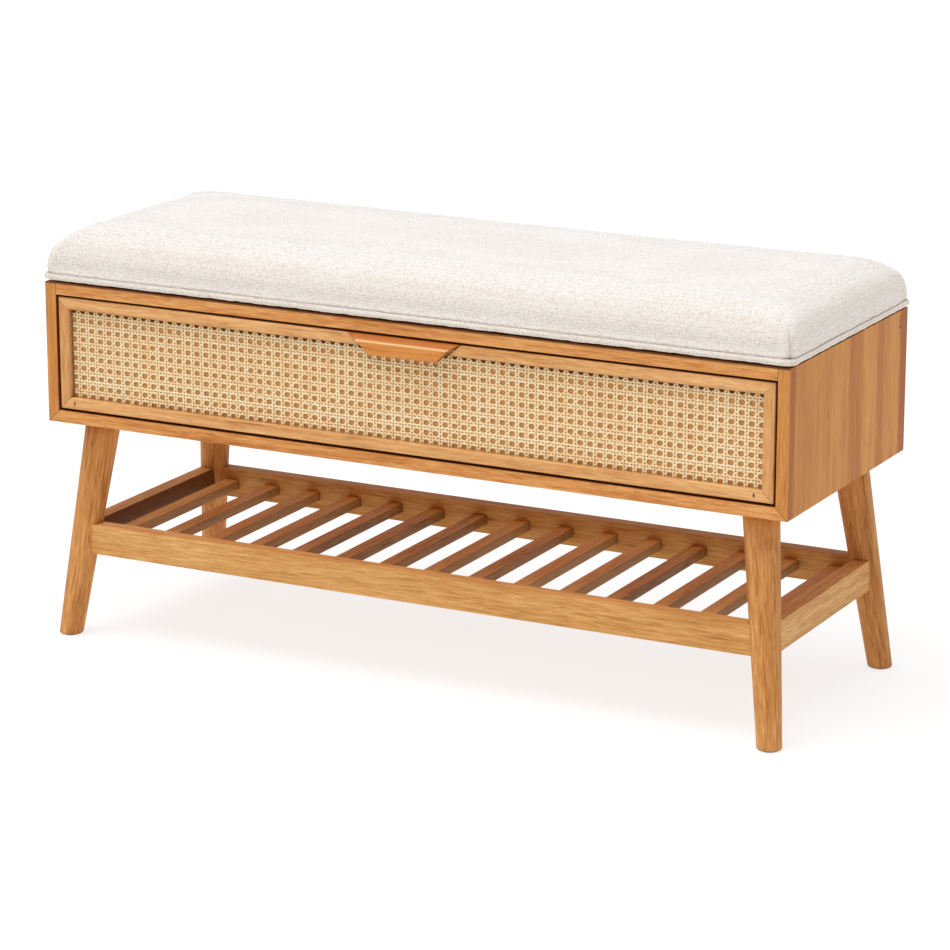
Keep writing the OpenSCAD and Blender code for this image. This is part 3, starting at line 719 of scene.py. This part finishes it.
def make_legs():
    places = {"front_left_leg": (-1, -1), "front_right_leg": (1, -1),
              "rear_left_leg": (-1, 1), "rear_right_leg": (1, 1)}
    for index, (name, (x_way, y_way)) in enumerate(places.items()):
        # The rear legs are a darker copy of the leg wood: painted shade under the case.
        tones = LEG_TONES if y_way < 0 else deeper(LEG_TONES, REAR_LEG_SHADE)
        make_leg(name, x_way, y_way, tones, (0.4 * index, 0.031 * index, 0.052 * index))


# ---- Pull ------------------------------------------------------------------------------------

PULL_OUT = 8 * MM
PULL_H = 23.5 * MM
PULL_BROW = 7 * MM
PULL_CHIN_OUT = 5.5 * MM
PULL_HEEL_OUT = 2 * MM
PULL_ROOF = 10 * MM
PULL_DEEP = 7 * MM
END_IN_PER_DROP = 1.12
END_IN_PER_OUT = 0.64


def round_corner(before, corner, after, radius, count=8):
    """Points of the arc that rounds a corner of a flat path."""
    before, corner, after = Vector(before), Vector(corner), Vector(after)
    first, second = (before - corner).normalized(), (after - corner).normalized()
    half = math.acos(max(-1.0, min(1.0, first.dot(second)))) / 2
    middle = corner + (first + second).normalized() * radius / math.sin(half)
    reach = radius / math.tan(half)
    start, end = corner + first * reach - middle, corner + second * reach - middle
    start_at = math.atan2(start.y, start.x)
    sweep = math.atan2(end.y, end.x) - start_at
    sweep = (sweep + 3 * math.pi) % (2 * math.pi) - math.pi
    return [middle + radius * Vector((math.cos(start_at + sweep * i / count),
                                      math.sin(start_at + sweep * i / count)))
            for i in range(count + 1)]


def pull_profile():
    """Depth in front of the drawer face and height above its top edge, anticlockwise."""
    back, brow = (-PULL_DEEP, 0), (PULL_OUT, -PULL_BROW)
    chin, heel = (PULL_CHIN_OUT, -PULL_H), (PULL_HEEL_OUT, -PULL_H)
    vault, roof = (PULL_HEEL_OUT, -PULL_ROOF), (-PULL_DEEP, -PULL_ROOF)
    path = [Vector(back)]
    path += round_corner(back, (0, 0), brow, 5 * MM)
    path += round_corner((0, 0), brow, chin, 3 * MM)
    path += round_corner(brow, chin, heel, 1.4 * MM)
    path += [Vector(heel)]
    path += round_corner(heel, vault, roof, 2.5 * MM)
    return path + [Vector(roof)]


def make_pull():
    """A lip pull let into the top rail: a brow that sheds light, a hooked underside."""
    lo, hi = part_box("drawer_pull")
    face_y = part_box("frame_top_rail")[0].y
    profile = pull_profile()
    middle, half = (lo.x + hi.x) / 2, (hi.x - lo.x) / 2
    rings = []
    for way in np.linspace(-1, 1, 9):
        ring = []
        for out, up in profile:
            end = half + END_IN_PER_DROP * up - END_IN_PER_OUT * max(0.0, out)
            ring.append((middle + way * end, face_y - out, hi.z + up))
        rings.append(ring)
    points, faces = loft(rings)
    material = wood("oak_pull", "x", PULL_TONES, (0.15, 0.5, 0.3), roughness=0.42, coat=0.08,
                    extra=[brow_shade_and_ridge_highlight(hi.z), end_grain_and_shade])
    pull = make_object("lip_pull", points, faces, material)
    ease = pull.modifiers.new("ease", "BEVEL")
    ease.width = 0.9 * MM
    ease.segments = 3
    ease.limit_method = "ANGLE"
    ease.angle_limit = math.radians(40)
    ease.harden_normals = True
    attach(pull, "drawer")
    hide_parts("drawer_pull")


# ---- Cane ------------------------------------------------------------------------------------

CANE_PITCH = 12.7 * MM
ROW_PITCH = 12.1 * MM
SLOPE = ROW_PITCH / CANE_PITCH
PAIR_GAP = 1.85 * MM
STRAND_W = 2.6 * MM
SLANT_W = 2.3 * MM
STRAND_T = 0.34 * MM
LIFT = 0.22 * MM
SLANT_BACK = 0.1 * MM
SHAKE = 0.15 * MM
CANE_AHEAD = 1.15 * MM
STEPS_PER_HOLE = 6
SHORTEST = 3 * MM


class Weave:
    """Collects flat strands as one mesh, with a tone for every strand."""

    def __init__(self):
        self.points = []
        self.faces = []
        self.tones = []

    def strand(self, path, width, normal_out):
        """path is a list of points; the strand is flat against the panel."""
        width *= RNG.uniform(0.92, 1.08)
        shade = RNG.random()
        half = width / 2
        along = (path[-1] - path[0]).normalized()
        side = along.cross(normal_out).normalized() * half
        rise = normal_out * (STRAND_T / 2)
        rings = [[p - side, p + rise, p + side, p - rise] for p in path]
        points, faces = loft(rings)
        base = len(self.points)
        self.points += points
        self.faces += [tuple(base + i for i in face) for face in faces]
        self.tones += [shade] * len(points)


def strand_path(start, end, height, out):
    length = (end - start).length
    count = max(2, round(length / CANE_PITCH * STEPS_PER_HOLE) + 1)
    path = []
    for i in range(count):
        point = start.lerp(end, i / (count - 1))
        path.append(point + out * height(point))
    return path


def wave(point):
    return math.cos(2 * math.pi * point.x / CANE_PITCH)


def clip_slant(way, offset, lo, hi):
    """The part of z = way * SLOPE * x + offset inside the panel, or None."""
    ends = []
    for x in (lo.x, hi.x):
        z = way * SLOPE * x + offset
        if lo.z <= z <= hi.z:
            ends.append(Vector((x, 0, z)))
    for z in (lo.z, hi.z):
        x = (z - offset) * way / SLOPE
        if lo.x < x < hi.x:
            ends.append(Vector((x, 0, z)))
    ends.sort(key=lambda point: point.x)
    if len(ends) < 2 or (ends[-1] - ends[0]).length < SHORTEST:
        return None
    return ends[0], ends[-1]


def lay_pairs(lay, low, high):
    """Pairs of upright strands, then pairs of level ones that wave over and under."""
    columns = int(high.x / CANE_PITCH) + 1
    for i in range(-columns, columns + 1):
        for way in (-1, 1):
            x = i * CANE_PITCH + way * PAIR_GAP
            if low.x < x < high.x:
                lay(Vector((x, 0, low.z)), Vector((x, 0, high.z)), lambda p: 0.0, STRAND_W)
    rows = int(high.z / ROW_PITCH) + 1
    for j in range(-rows, rows + 1):
        for way in (-1, 1):
            z = j * ROW_PITCH + way * PAIR_GAP
            if low.z < z < high.z:
                lay(Vector((low.x, 0, z)), Vector((high.x, 0, z)),
                    lambda p, way=way: way * LIFT * wave(p), STRAND_W)


def lay_slants(lay, low, high):
    """Single slanting strands both ways, a little behind the pairs."""
    reach = int((SLOPE * high.x + high.z) / ROW_PITCH) + 2
    for k in range(-reach, reach + 1):
        for way in (-1, 1):
            ends = clip_slant(way, (k + 0.5) * ROW_PITCH, low, high)
            if ends:
                lay(ends[0], ends[1],
                    lambda p, way=way: way * LIFT * wave(p) - SLANT_BACK, SLANT_W)


def make_cane():
    """The cane panel as separate woven strands, with real holes between them."""
    lo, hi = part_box("cane_panel")
    mid_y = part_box("drawer_front_board")[0].y - CANE_AHEAD
    mid_z = (lo.z + hi.z) / 2
    out = Vector((0, -1, 0))
    origin = Vector((0, mid_y, mid_z))
    low = Vector((lo.x, 0, lo.z - mid_z))
    high = Vector((hi.x, 0, hi.z - mid_z))
    weave = Weave()

    def lay(start, end, height, width):
        shake = Vector((RNG.uniform(-SHAKE, SHAKE), 0, RNG.uniform(-SHAKE, SHAKE)))
        path = strand_path(start, end, height, out)
        weave.strand([point + origin + shake for point in path], width, out)

    lay_pairs(lay, low, high)
    lay_slants(lay, low, high)
    cane = make_object("woven_cane", weave.points, weave.faces, rattan("cane_strand"))
    shade = cane.data.attributes.new("strand_tone", "FLOAT", "POINT")
    shade.data.foreach_set("value", weave.tones)
    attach(cane, "drawer")
    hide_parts("cane_panel")


# ---- Cushion and piping ----------------------------------------------------------------------

VOXEL = 5.5 * MM
SWELL_CAP = 6 * MM
START_IN = 2.5 * MM
BULGE = 3.5 * MM
PIN_BAND = 1.5 * MM
CLOTH_STEPS = 20
CLOTH_PRESSURE = 4
CLOTH_QUALITY = 5
WALL_H = 14 * MM
SHOULDER_R = 31 * MM
CROWN_H = 7 * MM
CROWN_REACH = 60 * MM
END_SHARE = 0.7
CORNER_R = 14 * MM
CORNER_POINTS = 24
RELAX_ROUNDS = 8
SEAM_DEPTH = 2.2 * MM
SEAM_WIDTH = 2.6 * MM


def mesh_points(mesh):
    """The mesh's points as an array of three columns."""
    flat = np.empty(len(mesh.vertices) * 3)
    mesh.vertices.foreach_get("co", flat)
    return flat.reshape(-1, 3)


def set_points(mesh, points):
    mesh.vertices.foreach_set("co", np.ascontiguousarray(points).ravel())
    mesh.update()


def bake_modifiers(piece):
    """Turns what the modifiers make into the piece's own mesh."""
    graph = bpy.context.evaluated_depsgraph_get()
    graph.update()
    mesh = bpy.data.meshes.new_from_object(piece.evaluated_get(graph))
    piece.modifiers.clear()
    piece.data = mesh


def swell(piece, floor_z):
    """Blows the pad up with a cloth simulation, its lower edge held, each point's way capped."""
    before = mesh_points(piece.data)
    held = piece.vertex_groups.new(name="held")
    held.add([int(i) for i in np.nonzero(before[:, 2] < floor_z + PIN_BAND)[0]], 1.0, "REPLACE")
    cloth = piece.modifiers.new("cloth", "CLOTH")
    cloth.settings.vertex_group_mass = "held"
    cloth.settings.use_pressure = True
    cloth.settings.uniform_pressure_force = CLOTH_PRESSURE
    cloth.settings.quality = CLOTH_QUALITY
    cloth.settings.effector_weights.gravity = 0
    cloth.point_cache.frame_start = 1
    cloth.point_cache.frame_end = CLOTH_STEPS
    for step in range(1, CLOTH_STEPS + 1):
        bpy.context.scene.frame_set(step)
    bake_modifiers(piece)
    bpy.context.scene.frame_set(1)
    moved = mesh_points(piece.data) - before
    far = np.linalg.norm(moved, axis=1, keepdims=True)
    set_points(piece.data, before + moved * np.minimum(1, SWELL_CAP / np.maximum(far, 1e-9)))


def relax(mesh, rounds):
    """Evens out the surface a little, keeping its size."""
    points = mesh_points(mesh)
    edges = np.empty(len(mesh.edges) * 2, int)
    mesh.edges.foreach_get("vertices", edges)
    edges = edges.reshape(-1, 2)
    count = np.bincount(edges.ravel(), minlength=len(points))[:, None]
    for weight in (0.5, -0.52) * rounds:
        total = np.zeros_like(points)
        np.add.at(total, edges[:, 0], points[edges[:, 1]])
        np.add.at(total, edges[:, 1], points[edges[:, 0]])
        points = points + weight * (total / count - points)
    set_points(mesh, points)


def sew(mesh, lo, hi):
    """Corner seams, puckers along the piping and soft unevenness, pushed along the normals."""
    points = mesh_points(mesh)
    normals = np.empty(len(points) * 3)
    mesh.vertices.foreach_get("normal", normals)
    normals = normals.reshape(-1, 3)
    push = np.zeros(len(points))
    corner_x, corner_y = hi.x - CORNER_R, hi.y - CORNER_R
    for index, (x, y, z) in enumerate(points):
        soft = noise.noise(Vector((x * 9, y * 11, z * 9))) * 0.9
        soft += noise.noise(Vector((x * 31, y * 31, z * 40))) * 0.35
        rise = z - lo.z
        pucker = math.exp(-rise / (12 * MM)) * (1 - abs(normals[index][2]))
        pucker *= noise.noise(Vector((x * 75, y * 75, 3.0))) * 1.1
        push[index] = (soft + pucker) * MM
        out_x, out_y = abs(x) - corner_x, abs(y) - corner_y
        if out_x > 0 and out_y > 0 and abs(normals[index][2]) < 0.85:
            across = (out_x - out_y) * math.sqrt(0.5)
            reach = 1 - min(1.0, max(0.0, (rise - 16 * MM) / (14 * MM)))
            push[index] -= SEAM_DEPTH * reach * math.exp(-(across / SEAM_WIDTH) ** 2)
    set_points(mesh, points + normals * push[:, None])


def rounded_ring(half_x, half_y, radius, z, count=CORNER_POINTS):
    """A level ring of points round a rectangle whose corners are arcs."""
    ring = []
    for x_way, y_way, turn in [(1, 1, 0), (-1, 1, 90), (-1, -1, 180), (1, -1, 270)]:
        for k in range(count):
            angle = math.radians(turn + 90 * k / (count - 1))
            ring.append((x_way * (half_x - radius) + radius * math.cos(angle),
                         y_way * (half_y - radius) + radius * math.sin(angle), z))
    return ring


def pad_rings(lo, hi):
    """The pad before it swells: level rings from the flat base up the sides and over the crown."""
    half_x, half_y = hi.x - START_IN, hi.y - START_IN
    top = lo.z + WALL_H
    rings = [rounded_ring(half_x - inset, half_y - inset, CORNER_R, lo.z - sink)
             for inset, sink in ((60 * MM, 0), (16 * MM, 0), (9 * MM, 1.5 * MM),
                                 (4 * MM, 3.5 * MM), (0, 4 * MM))]
    for rise in (0.0, 0.25, 0.5, 0.75, 1.0):
        out = BULGE * math.sin(rise * math.pi / 2)
        rings.append(rounded_ring(half_x + out, half_y + out, CORNER_R, lo.z + WALL_H * rise))
    insets = [SHOULDER_R * (1 - math.cos(a)) for a in np.linspace(0.1, math.pi / 2, 9)]
    insets += list(np.linspace(SHOULDER_R, half_y * 0.96, 16)[1:])
    for inset in insets:
        arc = SHOULDER_R ** 2 - max(0.0, SHOULDER_R - inset) ** 2
        z = top + math.sqrt(arc) + CROWN_H * (1 - math.exp(-inset / CROWN_REACH))
        room = half_y - inset
        radius = min(CORNER_R + 0.9 * inset, room * 0.98)
        rings.append(rounded_ring(half_x + BULGE - END_SHARE * inset, room + BULGE, radius, z))
    return rings


def make_cushion(fabric):
    """The seat pad: lofted, remeshed, swollen by the simulation, relaxed and sewn in."""
    lo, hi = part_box("seat_cushion")
    points, faces = loft(pad_rings(lo, hi))
    cushion = make_object("seat_pad", points, faces, fabric)
    remesh = cushion.modifiers.new("remesh", "REMESH")
    remesh.mode = "VOXEL"
    remesh.voxel_size = VOXEL
    bake_modifiers(cushion)
    swell(cushion, lo.z)
    relax(cushion.data, RELAX_ROUNDS)
    finer = cushion.modifiers.new("finer", "SUBSURF")
    finer.levels = 1
    finer.render_levels = 1
    bake_modifiers(cushion)
    sew(cushion.data, lo, hi)
    cushion.data.polygons.foreach_set("use_smooth", [True] * len(cushion.data.polygons))
    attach(cushion, "case")
    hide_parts("seat_cushion")


def rounded_path(half_x, half_y, radius, step):
    """Points round a rectangle with round corners, anticlockwise, evenly spaced on each part."""
    count = max(6, round(radius * math.pi / 2 / step)) + 1
    path = [Vector(point) for point in rounded_ring(half_x, half_y, radius, 0, count)]
    dense = []
    for here, there in zip(path, path[1:] + path[:1]):
        parts = max(1, round((there - here).length / step))
        dense += [here.lerp(there, k / parts) for k in range(parts)]
    return dense


PIPING_CORD_SHADE = (0.985, 0.965, 0.94, 1)
PIPING_SHY = 0.5 * MM
PIPING_STEP = 2.5 * MM
PIPING_SIDES = 16
PIPING_WANDER = 0.5 * MM


def make_piping(fabric):
    """A covered cord round the pad's lower edge, slightly uneven as sewn piping is."""
    lo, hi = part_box("cushion_piping")
    radius = (hi.z - lo.z) / 2 - PIPING_SHY
    path = rounded_path(hi.x - radius, hi.y - radius, CORNER_R - radius, PIPING_STEP)
    rings = []
    count = len(path)
    for index, centre in enumerate(path):
        along = (path[(index + 1) % count] - path[index - 1]).normalized()
        side = along.cross(Vector((0, 0, 1)))
        middle = centre + Vector((0, 0, hi.z - radius))
        middle.z += PIPING_WANDER * noise.noise(middle * 55)
        own = radius + PIPING_WANDER * noise.noise(middle * 110)
        rings.append([middle + own * (math.cos(a) * side + math.sin(a) * Vector((0, 0, 1)))
                      for a in np.linspace(0, 2 * math.pi, PIPING_SIDES, endpoint=False)])
    points, faces = loft(rings, closed=True)
    piping = make_object("piping_cord", points, faces, fabric)
    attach(piping, "case")
    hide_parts("cushion_piping")


# ---- Floor, world and lights -----------------------------------------------------------------

WORLD_LIGHT = 0.52
KEY_LIGHT = 2.0
KEY_SPREAD = 50
KEY_FROM = (-0.2, -0.29, 0.94)
FLOOR_HALF = 90.0
FLOOR_GLOW = 0.76


def make_floor():
    """A pale floor, wide enough that no view reaches its edge; its glow keeps shadows faint."""
    corners = [(x * FLOOR_HALF, y * FLOOR_HALF, 0) for x, y in ((-1, -1), (1, -1), (1, 1), (-1, 1))]
    s = Shader("studio_floor")
    mottle = s.noise(s.place(), 3.0, 2.0)
    color = s.ramp(mottle, [(0.3, grey(0.28)), (0.7, grey(0.30))])
    material = s.finish(Base_Color=color, Roughness=0.95, Specular_IOR_Level=0.0,
                        Emission_Color=grey(1.0), Emission_Strength=FLOOR_GLOW)
    floor = make_object("floor", corners, [(0, 1, 2, 3)], material, False)


def make_studio():
    """White world light from all round and one wide soft lamp above, left of the front."""
    world = bpy.data.worlds.new("studio")
    world.use_nodes = True
    world.node_tree.nodes["Background"].inputs["Color"].default_value = grey(1.0)
    world.node_tree.nodes["Background"].inputs["Strength"].default_value = WORLD_LIGHT
    bpy.context.scene.world = world
    bpy.context.scene.view_settings.view_transform = "Standard"
    data = bpy.data.lights.new("softbox", "SUN")
    data.energy = KEY_LIGHT
    data.angle = math.radians(KEY_SPREAD)
    lamp = bpy.data.objects.new("softbox", data)
    bpy.context.scene.collection.objects.link(lamp)
    lamp.rotation_euler = Vector(KEY_FROM).to_track_quat("Z", "Y").to_euler()


make_camera()
dress_case()
dress_shelf()
dress_drawer()
dress_hidden_and_metal()
make_legs()
make_pull()
make_cane()
make_cushion(linen("cream_linen"))
# The piping takes painted shade, darker as it faces down.
make_piping(linen("piping_linen", PIPING_CORD_SHADE))
make_floor()
make_studio()
